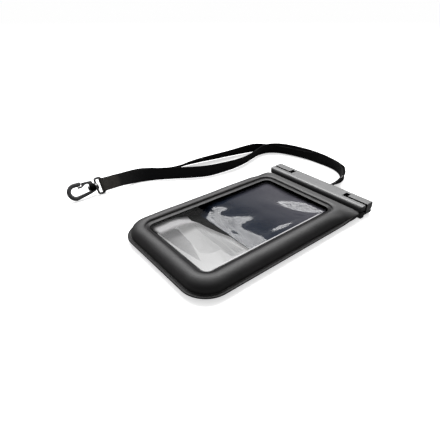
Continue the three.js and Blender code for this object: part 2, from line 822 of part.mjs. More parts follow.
// A flat section with eased edges, carried round the whole loop
function webbingLoop() {
  const stations = [
    ...overLug,
    ...routeStations(outerRoute),
    ...roundRing,
    ...routeStations(innerRoute).reverse(),
    ...underLug,
  ];
  const middles = new THREE.CatmullRomCurve3(stations.map((s) => s.middle), true, 'centripetal');
  const edges = new THREE.CatmullRomCurve3(stations.map((s) => s.edge), true, 'centripetal');
  const halfWidth = webbingWidth / 2;
  const halfThickness = webbingThickness / 2;
  const ease = halfThickness * 0.8;
  const section = [
    [halfWidth, halfThickness - ease],
    [halfWidth - ease, halfThickness],
    [-halfWidth + ease, halfThickness],
    [-halfWidth, halfThickness - ease],
    [-halfWidth, -halfThickness + ease],
    [-halfWidth + ease, -halfThickness],
    [halfWidth - ease, -halfThickness],
    [halfWidth, -halfThickness + ease],
  ];
  const rows = [];
  const count = stations.length;
  for (let i = 0; i < count; i += 1) {
    const span = stations[i].middle.distanceTo(stations[(i + 1) % count].middle);
    const pieces = Math.max(2, Math.round(span / webbingStep));
    for (let k = 0; k < pieces; k += 1) {
      const t = (i + k / pieces) / count;
      const middle = middles.getPoint(t);
      const along = middles.getTangent(t);
      const edge = edges.getPoint(t);
      edge.addScaledVector(along, -edge.dot(along)).normalize();
      const face = new THREE.Vector3().crossVectors(along, edge);
      rows.push(section.map(([w, h]) => {
        const point = middle.clone().addScaledVector(edge, w).addScaledVector(face, h);
        return [point.x, point.y, point.z];
      }));
    }
  }
  return ringOfRows(rows);
}

addPart('lanyard_strap', webbingLoop(), webbingCloth);

export default pouch;
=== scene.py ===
import math

import bpy
import bmesh
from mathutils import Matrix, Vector


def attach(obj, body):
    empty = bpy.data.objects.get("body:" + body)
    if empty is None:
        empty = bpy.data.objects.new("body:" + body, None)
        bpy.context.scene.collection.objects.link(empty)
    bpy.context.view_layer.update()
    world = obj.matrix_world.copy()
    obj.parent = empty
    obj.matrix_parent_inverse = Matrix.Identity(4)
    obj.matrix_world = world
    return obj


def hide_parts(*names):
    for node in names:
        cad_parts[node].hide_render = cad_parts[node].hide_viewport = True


# Waterproof phone pouch, lying on its back with its lanyard beside it.
# Sizes in the settings are millimetres; every mesh is built in metres.
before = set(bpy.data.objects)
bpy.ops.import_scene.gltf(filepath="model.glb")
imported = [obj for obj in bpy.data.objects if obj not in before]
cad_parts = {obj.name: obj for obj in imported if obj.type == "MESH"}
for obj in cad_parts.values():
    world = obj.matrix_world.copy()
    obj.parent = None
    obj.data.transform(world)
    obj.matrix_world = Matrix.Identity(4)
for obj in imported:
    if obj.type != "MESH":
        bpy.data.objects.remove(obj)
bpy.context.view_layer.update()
mm = 0.001


def lerp(a, b, t):
    return a + (b - a) * t


def smoothStep(x, low, high):
    t = min(max((x - low) / (high - low), 0.0), 1.0)
    return t * t * (3 - 2 * t)


# An sRGB code as a linear colour
def linearColour(code):
    channels = [((code >> shift) & 255) / 255 for shift in (16, 8, 0)]
    linear = [c / 12.92 if c <= 0.04045 else ((c + 0.055) / 1.055) ** 2.4 for c in channels]
    return (*linear, 1.0)


# Adds a node, with its inputs linked or set
def addNode(tree, kind, inputs=None, **settings):
    node = tree.nodes.new(kind)
    for key, value in settings.items():
        setattr(node, key, value)
    for key, value in (inputs or {}).items():
        socket = node.inputs[key]
        if kind == "ShaderNodeMix" and settings.get("data_type") == "RGBA" and key in "AB":
            socket = [s for s in node.inputs if s.name == key and s.type == "RGBA"][0]
        if isinstance(value, bpy.types.NodeSocket):
            tree.links.new(value, socket)
        else:
            socket.default_value = value
    return node


def colourOutput(node):
    return [s for s in node.outputs if s.type == "RGBA"][0]


def surfaceNoise(tree, place, scale, detail=2.0, **more):
    return addNode(tree, "ShaderNodeTexNoise", {
        "Vector": place.outputs["Object"], "Scale": scale, "Detail": detail, **more,
    })


# A ramp's two ends: their sRGB codes and their places
def setRamp(tone, dark, light, low=0.0, high=1.0):
    for element, place, code in zip(tone.color_ramp.elements, (low, high), (dark, light)):
        element.position = place
        element.color = linearColour(code)


def newMaterial(name):
    material = bpy.data.materials.new(name)
    material.use_nodes = True
    tree = material.node_tree
    tree.nodes.clear()
    output = addNode(tree, "ShaderNodeOutputMaterial")
    place = addNode(tree, "ShaderNodeTexCoord")
    return material, tree, output, place


def addPiece(name, vertices, faces, material, body, slot, smooth=40):
    mesh = bpy.data.meshes.new(name)
    mesh.from_pydata([(x * mm, y * mm, z * mm) for x, y, z in vertices], [], faces)
    mesh.materials.append(material)
    piece = bpy.data.objects.new(name, mesh)
    bpy.context.collection.objects.link(piece)
    work = bmesh.new()
    work.from_mesh(mesh)
    bmesh.ops.recalc_face_normals(work, faces=work.faces)
    work.to_mesh(mesh)
    work.free()
    if smooth:
        selectOnly(piece)
        bpy.ops.object.shade_smooth_by_angle(angle=math.radians(smooth))
    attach(piece, body)
    return piece


def selectOnly(piece):
    bpy.ops.object.select_all(action="DESELECT")
    piece.select_set(True)
    bpy.context.view_layer.objects.active = piece


# Faces of a closed section carried round a closed path
def ringFaces(around, across):
    faces = []
    for i in range(around):
        following = (i + 1) % around
        for j in range(across):
            beside = (j + 1) % across
            faces.append((
                i * across + j, i * across + beside, following * across + beside, following * across + j,
            ))
    return faces


def dressNode(name, material):
    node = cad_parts[name]
    node.data.materials.clear()
    node.data.materials.append(material)


view = {"sensor": 36, "lens": 30.339, "place": (0.20651, -0.20914, 0.18630), "down": 32.01, "turn": 50.72}
cameraData = bpy.data.cameras.new("camera")
cameraData.sensor_width = view["sensor"]
cameraData.lens = view["lens"]
cameraData.clip_start = 0.01
cameraData.clip_end = 100
camera = bpy.data.objects.new("camera", cameraData)
camera.location = view["place"]
camera.rotation_euler = (math.radians(90 - view["down"]), 0, math.radians(view["turn"]))
bpy.context.collection.objects.link(camera)
bpy.context.scene.camera = camera

# Black foam-padded vinyl: satin skin with a fine embossed grain and slow unevenness. The neck,
# pressed flat by its weld, has more gloss, which fades out just in front of the clamp: painted shade of the
# clamp on the neck.
neck = {
    "satin": 0.5, "glossier": 1.25, "pressedFrom": 0.061, "pressedTo": 0.072,
    "clampShadeFrom": 0.0776, "clampShadeTo": 0.0798,
}


def paddedVinyl(
    name, smoothest, roughest, grainDepth, index=1.5, dark=0x171617, light=0x1E1D1E, hasNeck=False,
):
    material, tree, output, place = newMaterial(name)
    grain = addNode(tree, "ShaderNodeTexVoronoi", {"Vector": place.outputs["Object"], "Scale": 1500.0})
    cloud = surfaceNoise(tree, place, 55.0, 4.0)
    speck = surfaceNoise(tree, place, 700.0, 3.0)
    tone = addNode(tree, "ShaderNodeValToRGB", {"Fac": cloud.outputs["Fac"]})
    setRamp(tone, dark, light, 0.35, 0.7)
    gloss = addNode(tree, "ShaderNodeMapRange", {
        "Value": speck.outputs["Fac"], "To Min": smoothest, "To Max": roughest,
    })
    fine = addNode(tree, "ShaderNodeBump", {
        "Height": grain.outputs["Distance"], "Strength": 0.25, "Distance": grainDepth,
    })
    slow = addNode(tree, "ShaderNodeBump", {
        "Height": cloud.outputs["Fac"], "Strength": 0.25, "Distance": 0.002, "Normal": fine.outputs["Normal"],
    })
    skin = addNode(tree, "ShaderNodeBsdfPrincipled", {
        "Base Color": tone.outputs["Color"], "Roughness": gloss.outputs["Result"],
        "Normal": slow.outputs["Normal"], "IOR": index,
    })
    if hasNeck:
        split = addNode(tree, "ShaderNodeSeparateXYZ", {"Vector": place.outputs["Object"]})
        glossier = addNode(tree, "ShaderNodeMapRange", {
            "Value": split.outputs["Y"], "From Min": neck["pressedFrom"], "From Max": neck["pressedTo"],
            "To Min": neck["satin"], "To Max": neck["glossier"],
        })
        # Painted shade: the gloss fades out on the neck just in front of the clamp
        clampShade = addNode(tree, "ShaderNodeMapRange", {
            "Value": split.outputs["Y"], "From Min": neck["clampShadeFrom"], "From Max": neck["clampShadeTo"],
            "To Min": 1.0, "To Max": 0.0,
        })
        level = addNode(tree, "ShaderNodeMath", {
            0: glossier.outputs["Result"], 1: clampShade.outputs["Result"],
        }, operation="MULTIPLY")
        tree.links.new(level.outputs["Value"], skin.inputs["Specular IOR Level"])
    tree.links.new(skin.outputs["BSDF"], output.inputs["Surface"])
    return material


# Clear soft film: mostly see-through, with a mirror gloss that grows at low angles. The gloss
# stops over the dark panel, which has its own.
clearFilm = {
    "tint": 0xF0F0F0, "darkeningTint": 0x6E6E70, "diffuseWhite": 0xD2D1D2, "index": 1.2,
    "glossEnds": -0.0345, "glossGone": -0.0335,
}


def clearFilmMaterial(name):
    material, tree, output, place = newMaterial(name)
    ripple = surfaceNoise(tree, place, 60.0, 1.0)
    bump = addNode(tree, "ShaderNodeBump", {
        "Height": ripple.outputs["Fac"], "Strength": 0.04, "Distance": 0.001,
    })
    fresnel = addNode(tree, "ShaderNodeFresnel", {
        "IOR": clearFilm["index"], "Normal": bump.outputs["Normal"],
    })
    facing = addNode(tree, "ShaderNodeNewGeometry")
    front = addNode(tree, "ShaderNodeMath", {
        0: 1.0, 1: facing.outputs["Backfacing"],
    }, operation="SUBTRACT")
    share = addNode(tree, "ShaderNodeMath", {
        0: fresnel.outputs["Fac"], 1: front.outputs["Value"],
    }, operation="MULTIPLY")
    # Darker tint: folds of the back film, painted shade of the floor under it, and the window film's edge
    darkeningTint = addNode(tree, "ShaderNodeAttribute", attribute_name="filmDarkening")
    tone = addNode(tree, "ShaderNodeMix", {
        "Factor": darkeningTint.outputs["Fac"], "A": linearColour(clearFilm["tint"]),
        "B": linearColour(clearFilm["darkeningTint"]),
    }, data_type="RGBA")
    clear = addNode(tree, "ShaderNodeBsdfTransparent", {"Color": colourOutput(tone)})
    # Milky white layer: the back film's milky strip, and a painted highlight along the window's right rim
    milkAndHighlight = addNode(tree, "ShaderNodeAttribute", attribute_name="milkAndHighlight")
    diffuseWhite = addNode(tree, "ShaderNodeBsdfDiffuse", {"Color": linearColour(clearFilm["diffuseWhite"])})
    through = addNode(tree, "ShaderNodeMixShader", {
        0: milkAndHighlight.outputs["Fac"], 1: clear.outputs["BSDF"], 2: diffuseWhite.outputs["BSDF"],
    })
    gloss = addNode(tree, "ShaderNodeBsdfGlossy", {
        "Color": linearColour(0xFFFFFF), "Roughness": 0.03, "Normal": bump.outputs["Normal"],
    })
    split = addNode(tree, "ShaderNodeSeparateXYZ", {"Vector": place.outputs["Object"]})
    overClear = addNode(tree, "ShaderNodeMapRange", {
        "Value": split.outputs["Y"], "From Min": clearFilm["glossEnds"], "From Max": clearFilm["glossGone"],
        "To Min": 1.0, "To Max": 0.0,
    })
    shown = addNode(tree, "ShaderNodeMath", {
        0: share.outputs["Value"], 1: overClear.outputs["Result"],
    }, operation="MULTIPLY")
    mixed = addNode(tree, "ShaderNodeMixShader", {
        0: shown.outputs["Value"], 1: through.outputs["Shader"], 2: gloss.outputs["BSDF"],
    })
    tree.links.new(mixed.outputs["Shader"], output.inputs["Surface"])
    return material


# Dark navy vinyl of the opaque back, glossy on the inside, mixed towards grey near the mouth: a painted
# reflection
panelPaintedReflection = {"start": -0.004, "end": 0.055, "most": 0.8, "grey": 0x615F66}


def panelVinyl():
    material, tree, output, place = newMaterial("navyPanelVinyl")
    cloud = surfaceNoise(tree, place, 22.0)
    tone = addNode(tree, "ShaderNodeValToRGB", {"Fac": cloud.outputs["Fac"]})
    setRamp(tone, 0x1B202C, 0x2A3240)
    split = addNode(tree, "ShaderNodeSeparateXYZ", {"Vector": place.outputs["Object"]})
    # Painted reflection: the panel turns greyer towards the mouth
    reflectionShare = addNode(tree, "ShaderNodeMapRange", {
        "Value": split.outputs["Y"], "From Min": panelPaintedReflection["start"], "From Max": panelPaintedReflection["end"],
        "To Min": 0.0, "To Max": panelPaintedReflection["most"],
    })
    paintedSheen = addNode(tree, "ShaderNodeMix", {
        "Factor": reflectionShare.outputs["Result"], "A": tone.outputs["Color"],
        "B": linearColour(panelPaintedReflection["grey"]),
    }, data_type="RGBA")
    bump = addNode(tree, "ShaderNodeBump", {
        "Height": cloud.outputs["Fac"], "Strength": 0.18, "Distance": 0.002,
    })
    gloss = addNode(tree, "ShaderNodeMapRange", {
        "Value": cloud.outputs["Fac"], "To Min": 0.06, "To Max": 0.1,
    })
    skin = addNode(tree, "ShaderNodeBsdfPrincipled", {
        "Base Color": colourOutput(paintedSheen), "Roughness": gloss.outputs["Result"],
        "Normal": bump.outputs["Normal"], "IOR": 1.5,
    })
    tree.links.new(skin.outputs["BSDF"], output.inputs["Surface"])
    return material


# Moulded black plastic with a fine spark-eroded grain. With the front shade setting below 1, the sheen fades
# from the clamp's top down its front: painted shade on the clamp's lower front.
clampShadeFade = {"low": 0.0095, "high": 0.0133, "level": 0.5}


def grainedPlastic(name, dark, light, rough, grainScale=1400.0, grainDepth=0.00012, index=1.6, frontShade=1.0):
    material, tree, output, place = newMaterial(name)
    grain = surfaceNoise(tree, place, grainScale, Roughness=0.7)
    cloud = surfaceNoise(tree, place, 90.0, 3.0)
    tone = addNode(tree, "ShaderNodeValToRGB", {"Fac": grain.outputs["Fac"]})
    setRamp(tone, dark, light, 0.3, 0.75)
    gloss = addNode(tree, "ShaderNodeMapRange", {
        "Value": cloud.outputs["Fac"], "To Min": rough - 0.06, "To Max": rough + 0.06,
    })
    bump = addNode(tree, "ShaderNodeBump", {
        "Height": grain.outputs["Fac"], "Strength": 0.5, "Distance": grainDepth,
    })
    skin = addNode(tree, "ShaderNodeBsdfPrincipled", {
        "Base Color": tone.outputs["Color"], "Roughness": gloss.outputs["Result"],
        "Normal": bump.outputs["Normal"], "IOR": index,
    })
    if frontShade < 1:
        # Painted shade: the sheen is weakened low on the clamp's front
        split = addNode(tree, "ShaderNodeSeparateXYZ", {"Vector": place.outputs["Object"]})
        level = addNode(tree, "ShaderNodeMapRange", {
            "Value": split.outputs["Z"], "From Min": clampShadeFade["low"], "From Max": clampShadeFade["high"],
            "To Min": frontShade, "To Max": 1.0,
        })
        shadedSheen = addNode(tree, "ShaderNodeMath", {
            0: level.outputs["Result"], 1: clampShadeFade["level"],
        }, operation="MULTIPLY")
        tree.links.new(shadedSheen.outputs["Value"], skin.inputs["Specular IOR Level"])
    tree.links.new(skin.outputs["BSDF"], output.inputs["Surface"])
    return material


# Drawn steel of the latch pins
def drawnSteel():
    material, tree, output, place = newMaterial("drawnSteel")
    stretch = addNode(tree, "ShaderNodeMapping", {
        "Vector": place.outputs["Object"], "Scale": (900.0, 30.0, 900.0),
    })
    lines = addNode(tree, "ShaderNodeTexNoise", {
        "Vector": stretch.outputs["Vector"], "Scale": 3.0, "Detail": 3.0,
    })
    gloss = addNode(tree, "ShaderNodeMapRange", {
        "Value": lines.outputs["Fac"], "To Min": 0.22, "To Max": 0.42,
    })
    skin = addNode(tree, "ShaderNodeBsdfPrincipled", {
        "Base Color": linearColour(0xB4B6B8), "Metallic": 1.0, "Roughness": gloss.outputs["Result"],
    })
    tree.links.new(skin.outputs["BSDF"], output.inputs["Surface"])
    return material


# Woven nylon webbing: chevron ribs along the strip, paler at its sewn end: a painted highlight where the flat
# end faces the light.
# UV is in millimetres.
weave = {"middle": 7.0, "slant": 0.9, "ribs": 7.0, "threads": 8.0}


def wovenNylon():
    material, tree, output, place = newMaterial("wovenNylon")

    def calculate(operation, *values):
        return addNode(tree, "ShaderNodeMath", dict(enumerate(values)), operation=operation).outputs["Value"]

    split = addNode(tree, "ShaderNodeSeparateXYZ", {"Vector": place.outputs["UV"]})
    fold = calculate("ABSOLUTE", calculate("SUBTRACT", split.outputs["X"], weave["middle"]))
    run = calculate("ADD", split.outputs["Y"], calculate("MULTIPLY", fold, weave["slant"]))
    warp = calculate("SINE", calculate("MULTIPLY", run, weave["ribs"]))
    weft = calculate("SINE", calculate("MULTIPLY", split.outputs["X"], weave["threads"]))
    fuzz = surfaceNoise(tree, place, 2500.0)
    height = calculate("MULTIPLY_ADD", fuzz.outputs["Fac"], 0.8, calculate("MAXIMUM", warp, weft))
    tone = addNode(tree, "ShaderNodeValToRGB", {"Fac": height})
    setRamp(tone, 0x0B0B0C, 0x1A1A1B)
    # Painted highlight: paler at the sewn end
    sewnSheen = addNode(tree, "ShaderNodeAttribute", attribute_name="sewnEnd")
    paintedSheen = addNode(tree, "ShaderNodeMix", {
        "Factor": sewnSheen.outputs["Fac"], "A": tone.outputs["Color"], "B": linearColour(0x34322F),
    }, data_type="RGBA")
    bump = addNode(tree, "ShaderNodeBump", {"Height": height, "Strength": 0.5, "Distance": 0.0002})
    cloth = addNode(tree, "ShaderNodeBsdfPrincipled", {
        "Base Color": colourOutput(paintedSheen), "Roughness": 0.85, "Normal": bump.outputs["Normal"],
        "Specular IOR Level": 0.12, "Sheen Weight": 0.02, "Sheen Roughness": 0.5,
    })
    tree.links.new(cloth.outputs["BSDF"], output.inputs["Surface"])
    return material


frameSkin = paddedVinyl("blackPaddedVinyl", 0.5, 0.62, 0.0002, hasNeck=True)
weldSkin = paddedVinyl("pressedWeldVinyl", 0.26, 0.36, 0.00005, 1.26, 0x121112, 0x181718)
rimSkin = paddedVinyl("weldedRimVinyl", 0.45, 0.55, 0.0001, 1.3, 0x100F10, 0x151415)
# Near-black skin of the cavity's inner wall: painted shade
cavityShadeSkin = paddedVinyl("cavityShadeVinyl", 0.5, 0.6, 0.0001, 1.2, 0x070707, 0x0A0A0A)
windowClear = clearFilmMaterial("clearWindowFilm")
navyVinyl = panelVinyl()
# Near-black vinyl for the painted shade strip along the panel's edge
edgeShadeVinyl = paddedVinyl("panelEdgeShadeVinyl", 0.5, 0.6, 0.00003, 1.15, 0x060606, 0x0A0A0A)
clampPlastic = grainedPlastic("grainedBlackPlastic", 0x29292A, 0x383839, 0.54, index=1.98, frontShade=0.08)
latchPlastic = grainedPlastic("grainedLatchPlastic", 0x29292A, 0x383839, 0.56, index=1.95)
# Near-black plastic: painted shade in the clamp's joints and notches, and the hook's matte black barrel
shadeAndMatteBlack = grainedPlastic("shadedJointPlastic", 0x050505, 0x080808, 0.7, index=1.1)
hookPlastic = grainedPlastic("mouldedHookPlastic", 0x2A2A2B, 0x38383A, 0.4, 900.0, 0.0001, 2.0)
ringPlastic = grainedPlastic("mouldedRingPlastic", 0x0E0E0F, 0x161617, 0.35, 900.0, 0.0001)
sealRubber = grainedPlastic("matteSealRubber", 0x1A1A1A, 0x242424, 0.75, 600.0, 0.0001)
pinSteel = drawnSteel()
webbingNylon = wovenNylon()

# One strip of webbing, sewn into a loop round the lug's bar and the ring's bar
webbing = {
    "width": 14.0, "thickness": 1.2, "floorGap": 0.4, "step": 1.6, "seatGap": 0.3,
    "lugBar": (104.95, 3.8, 1.5), "lugRun": 5.0,
    "ringBar": Vector((-147.4, -81.1, 8.9)), "heading": -92.7, "dip": 0.6, "lean": 34.0, "ringWire": 1.2,
    "sewnGap": 0.2, "sewnEnd": ((17, 0), (10, 0), (4.5, 0.4)), "foldTurns": (100, 50, 0, -50, -100),
    "paintedSheenSpan": (21.0, 16.0), "selvedge": 0.9, "rib": 0.8, "roundness": 0.97,
    "across": (0.15, 0.45, 0.7, 0.84, 0.9, 0.95, 0.985, 1.0),
    "outerRoute": [
        (-4.5, 115, -64), (-1, 123, -42), (0.8, 132, -20), (-1, 141.5, 0), (-5, 149.3, 9),
        (-12, 155.3, 17), (-20, 160.3, 22), (-32, 163, 22), (-46, 165, 28), (-60, 165.6, 37),
        (-74, 164.5, 44), (-91, 159.5, 44), (-108, 150.5, 40), (-120, 137.5, 30), (-129, 122, 20),
        (-134, 104, 26), (-138, 86, 35), (-142, 65, 40), (-146, 45, 45), (-148.5, 28, 50),
        (-149, 13, 55), (-150, 0, 53), (-151.5, -13, 44), (-150.5, -26, 24), (-148, -38, -6),
    ],
    "innerRoute": [
        (-6, 113, -74), (-3.5, 120.5, -50), (-1.6, 130.5, -24), (-4, 140.3, -2), (-9, 147.8, 8),
        (-16, 153.4, 14), (-24, 157.2, 14), (-33, 158.8, 8), (-46, 159, 2), (-66, 158, 0),
        (-87.5, 153, 0), (-105, 145, 4), (-114, 134, 10), (-115.5, 120, 16), (-112, 104, 22),
        (-107, 86, 22), (-104.5, 68, 18), (-104.5, 50, 10), (-107, 30, 2), (-115.5, 12, 0),
        (-126, -5, -5), (-136, -22, -12), (-142.5, -38, -20),
    ],
}

heading = math.radians(webbing["heading"])
dip = math.radians(webbing["dip"])
ringTurn = math.radians(webbing["lean"])
hookAlong = Vector((math.cos(heading) * math.cos(dip), math.sin(heading) * math.cos(dip), -math.sin(dip)))
hookLevel = Vector((math.sin(heading), -math.cos(heading), 0))
hookUpright = hookLevel.cross(hookAlong)
hookWide = hookLevel * math.sin(ringTurn) + hookUpright * math.cos(ringTurn)
hookAcross = hookAlong.cross(hookWide)


def routeStations(rows):
    stations = []
    for i, (x, y, leanAngle) in enumerate(rows):
        before = rows[max(i - 1, 0)]
        after = rows[min(i + 1, len(rows) - 1)]
        along = Vector((after[0] - before[0], after[1] - before[1], 0)).normalized()
        left = Vector((0, 0, 1)).cross(along)
        angle = math.radians(leanAngle)
        edge = Vector((0, 0, 1)) * math.cos(angle) + left * math.sin(angle)
        lift = webbing["floorGap"] + webbing["thickness"] / 2 * abs(math.sin(angle))
        stations.append((Vector((x, y, lift)) + edge * webbing["width"] / 2, edge))
    return stations


def lugStations(turns):
    y, z, radius = webbing["lugBar"]
    turn = radius + webbing["seatGap"] + webbing["thickness"] / 2
    edge = Vector((1, 0, 0))
    stations = []
    for degrees in turns:
        angle = math.radians(degrees)
        stations.append((Vector((0, y + turn * math.cos(angle), z + turn * math.sin(angle))), edge))
    run = y + webbing["lugRun"]
    return stations, Vector((0, run, z + turn)), Vector((0, run, z - turn)), edge


def ringStation(back, across):
    return (webbing["ringBar"] - hookAlong * back + hookAcross * across, hookWide.copy())


def loopStations():
    over, overRun, underRun, edge = lugStations((180, 135, 90))
    under = lugStations((270, 225))[0]
    sewnGap = webbing["thickness"] / 2 + webbing["sewnGap"]
    foldRadius = webbing["ringWire"] + webbing["seatGap"] + webbing["thickness"] / 2
    sewnEnd = [(back, sewnGap + more) for back, more in webbing["sewnEnd"]]
    fold = []
    for degrees in webbing["foldTurns"]:
        angle = math.radians(degrees)
        fold.append(ringStation(-foldRadius * math.cos(angle), foldRadius * math.sin(angle)))
    roundRing = [ringStation(back, across) for back, across in sewnEnd] + fold
    roundRing += [ringStation(back, -across) for back, across in reversed(sewnEnd)]
    stations = over + [(overRun, edge)] + routeStations(webbing["outerRoute"]) + roundRing
    stations += list(reversed(routeStations(webbing["innerRoute"]))) + [(underRun, edge)] + under
    return stations


# The same closed centripetal curve as the CAD webbing follows
def curvePoint(points, segment, t):
    count = len(points)
    p = [points[(segment + k) % count] for k in (-1, 0, 1, 2)]
    spans = [max((p[k + 1] - p[k]).length ** 0.5, 1e-4) for k in range(3)]
    result = Vector()
    for axis in range(len(p[0])):
        x0, x1, x2, x3 = (q[axis] for q in p)
        t1 = ((x1 - x0) / spans[0] - (x2 - x0) / (spans[0] + spans[1]) + (x2 - x1) / spans[1]) * spans[1]
        t2 = ((x2 - x1) / spans[1] - (x3 - x1) / (spans[1] + spans[2]) + (x3 - x2) / spans[2]) * spans[1]
        c2 = -3 * x1 + 3 * x2 - 2 * t1 - t2
        c3 = 2 * x1 - 2 * x2 + t1 + t2
        result[axis] = x1 + t1 * t + c2 * t * t + c3 * t ** 3
    return result


def webbingRows():
    stations = loopStations()
    middles = [s[0] for s in stations]
    edges = [s[1] for s in stations]
    count = len(stations)
    centres = []
    sides = []
    for i in range(count):
        pieces = max(3, round((middles[(i + 1) % count] - middles[i]).length / webbing["step"]))
        for k in range(pieces):
            centres.append(curvePoint(middles, i, k / pieces))
            sides.append(curvePoint(edges, i, k / pieces))
    rows = []
    for i, centre in enumerate(centres):
        along = (centres[(i + 1) % len(centres)] - centres[i - 1]).normalized()
        edge = (sides[i] - along * sides[i].dot(along)).normalized()
        rows.append((centre, edge, along.cross(edge)))
    return rows


# The section: slightly cushioned faces with rolled selvedges
def webbingSection():
    half = webbing["width"] / 2
    thick = webbing["thickness"] / 2
    selvedge = webbing["selvedge"]
    shares = [-share for share in reversed(webbing["across"])] + list(webbing["across"])
    top = []
    for share in shares:
        side = abs(share)
        if side > selvedge:
            rolled = math.sqrt(max(0.02, 1 - ((side - selvedge) / 0.1) ** 2))
            height = thick * rolled * webbing["roundness"]
        elif side > webbing["rib"]:
            height = thick * 0.80
        else:
            height = thick * 0.86
        top.append((share * half, height))
    return top + [(w, -h) for w, h in reversed(top)]


def buildWebbing():
    rows = webbingRows()
    section = webbingSection()
    vertices = []
    for centre, edge, face in rows:
        vertices += [tuple(centre + edge * w + face * h) for w, h in section]
    faces = ringFaces(len(rows), len(section))
    strap = addPiece("lanyardWebbing", vertices, faces, webbingNylon, "pouch", "webbing", 50)
    travelled = [0.0]
    for i in range(1, len(rows) + 1):
        travelled.append(travelled[-1] + (rows[i % len(rows)][0] - rows[i - 1][0]).length)
    layer = strap.data.uv_layers.new(name="weave")
    for polygon in strap.data.polygons:
        wraps = {v // len(section) for v in polygon.vertices} == {0, len(rows) - 1}
        for corner in polygon.loop_indices:
            index = strap.data.loops[corner].vertex_index
            row = index // len(section)
            along = travelled[-1] if wraps and row == 0 else travelled[row]
            layer.data[corner].uv = (section[index % len(section)][0] + webbing["width"] / 2, along)
    # Painted highlight: how far the sewn end is tinted paler
    glossier = strap.data.color_attributes.new("sewnEnd", "FLOAT_COLOR", "POINT")
    for vertex in strap.data.vertices:
        away = (vertex.co / mm - webbing["ringBar"]).length
        share = smoothStep(away, *webbing["paintedSheenSpan"])
        glossier.data[vertex.index].color = (share, share, share, 1.0)
    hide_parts("lanyard_strap")
    return strap, rows, travelled[-1]


strap, strapRows, strapLength = buildWebbing()
print("lanyard", round(strapLength, 1))

pad = {
    "windowHalf": 41.5, "windowStart": -87.95, "windowEnd": 59.05, "windowCorner": 7.0, "windowHeight": 12.9,
    "outerHalf": 60.0, "outerStart": -106.45, "outerEnd": 81.75, "outerCorner": 22.5, "neckCorner": 6.0,
    "margin": 18.5, "neckReach": 22.7, "bandWidth": 3.5, "bandThickness": 0.8, "padStart": 3.55,
    "padEnd": 15.5, "crest": 15.0, "crestPull": 2.2, "shoulderPull": 0.9, "flangeHeight": 5.0,
    "mouthHeight": 7.0, "sheet": 0.5, "gap": 0.15, "neckLip": 0.6, "clampFront": 82.05,
    "cornerSteps": 22, "sideSteps": 46, "endSteps": 26, "padSteps": 26, "bellySteps": 16, "flat": 9.5,
    "flapHalf": 53.0, "flapStart": 81.3, "flapEnd": 95.55, "frontFlap": 7.65, "rearFlap": 6.85,
}


def outline(halfWidth, start, end, startRadius, endRadius):
    points = []

    def corner(cx, cy, radius, first):
        for k in range(pad["cornerSteps"] + 1):
            angle = math.radians(first + 90 * k / pad["cornerSteps"])
            points.append((cx + radius * math.cos(angle), cy + radius * math.sin(angle)))

    def run(a, b, steps):
        for k in range(1, steps):
            points.append((lerp(a[0], b[0], k / steps), lerp(a[1], b[1], k / steps)))

    corner(-halfWidth + startRadius, start + startRadius, startRadius, 180)
    run((-halfWidth + startRadius, start), (halfWidth - startRadius, start), pad["endSteps"])
    corner(halfWidth - startRadius, start + startRadius, startRadius, 270)
    run((halfWidth, start + startRadius), (halfWidth, end - endRadius), pad["sideSteps"])
    corner(halfWidth - endRadius, end - endRadius, endRadius, 0)
    run((halfWidth - endRadius, end), (-halfWidth + endRadius, end), pad["endSteps"])
    corner(-halfWidth + endRadius, end - endRadius, endRadius, 90)
    run((-halfWidth, end - endRadius), (-halfWidth, start + startRadius), pad["sideSteps"])
    return points


def windowOutline(offset):
    return outline(
        pad["windowHalf"] + offset, pad["windowStart"] - offset, pad["windowEnd"] + offset,
        pad["windowCorner"] + offset, pad["windowCorner"] + offset,
    )


def bezier(p0, p1, p2, p3, steps):
    points = []
    for k in range(steps + 1):
        t = k / steps
        weights = ((1 - t) ** 3, 3 * t * (1 - t) ** 2, 3 * t * t * (1 - t), t ** 3)
        points.append(tuple(sum(w * p[axis] for w, p in zip(weights, (p0, p1, p2, p3))) for axis in (0, 1)))
    return points


def neckShare(y):
    return smoothStep(y, pad["windowEnd"] - pad["windowCorner"], pad["clampFront"] - pad["neckCorner"])


# Front half: weld band with a beaded edge, a groove, the soft pad, and the welded flange
def frontSection(share):
    top = pad["windowHeight"]
    split = lerp(pad["flangeHeight"], pad["mouthHeight"], share) + pad["gap"]
    outerEnd = lerp(pad["margin"], pad["neckReach"], share)
    outerStart = lerp(pad["padEnd"], pad["neckReach"] - 0.6, share)
    rimTop = split + lerp(pad["sheet"], 2 * pad["neckLip"], share)
    band = [
        (0.0, top - 0.78), (0.0, top - 0.74), (0.06, top - 0.68), (0.22, top - 0.6), (0.5, top - 0.52),
        (1.0, top - 0.39), (1.5, top - 0.28), (2.1, top - 0.17), (2.7, top - 0.08), (3.1, top - 0.04),
        (3.4, top - 0.05),
    ]
    soft = bezier(
        (pad["padStart"], top + 0.3),
        (pad["padStart"] + 0.1, pad["crest"] + pad["crestPull"]),
        (outerStart + lerp(1.1, -7, share), lerp(pad["crest"] + pad["shoulderPull"], rimTop + 4.5, share)),
        (outerStart, rimTop + 0.1),
        pad["padSteps"],
    )
    flange = [
        (lerp(outerStart, outerEnd, 0.12), rimTop - 0.1), (lerp(outerStart, outerEnd, 0.25), rimTop - 0.06),
        (lerp(outerStart, outerEnd, 0.4), rimTop + 0.02), (lerp(outerStart, outerEnd, 0.6), rimTop - 0.03),
        (lerp(outerStart, outerEnd, 0.85), rimTop - 0.13), (lerp(outerStart, outerEnd, 0.95), rimTop - 0.22),
        (outerEnd, rimTop - 0.36), (outerEnd, split),
    ]
    under = [(pad["bandWidth"], split), (pad["bandWidth"], top - pad["bandThickness"])]
    return band + soft + flange + under


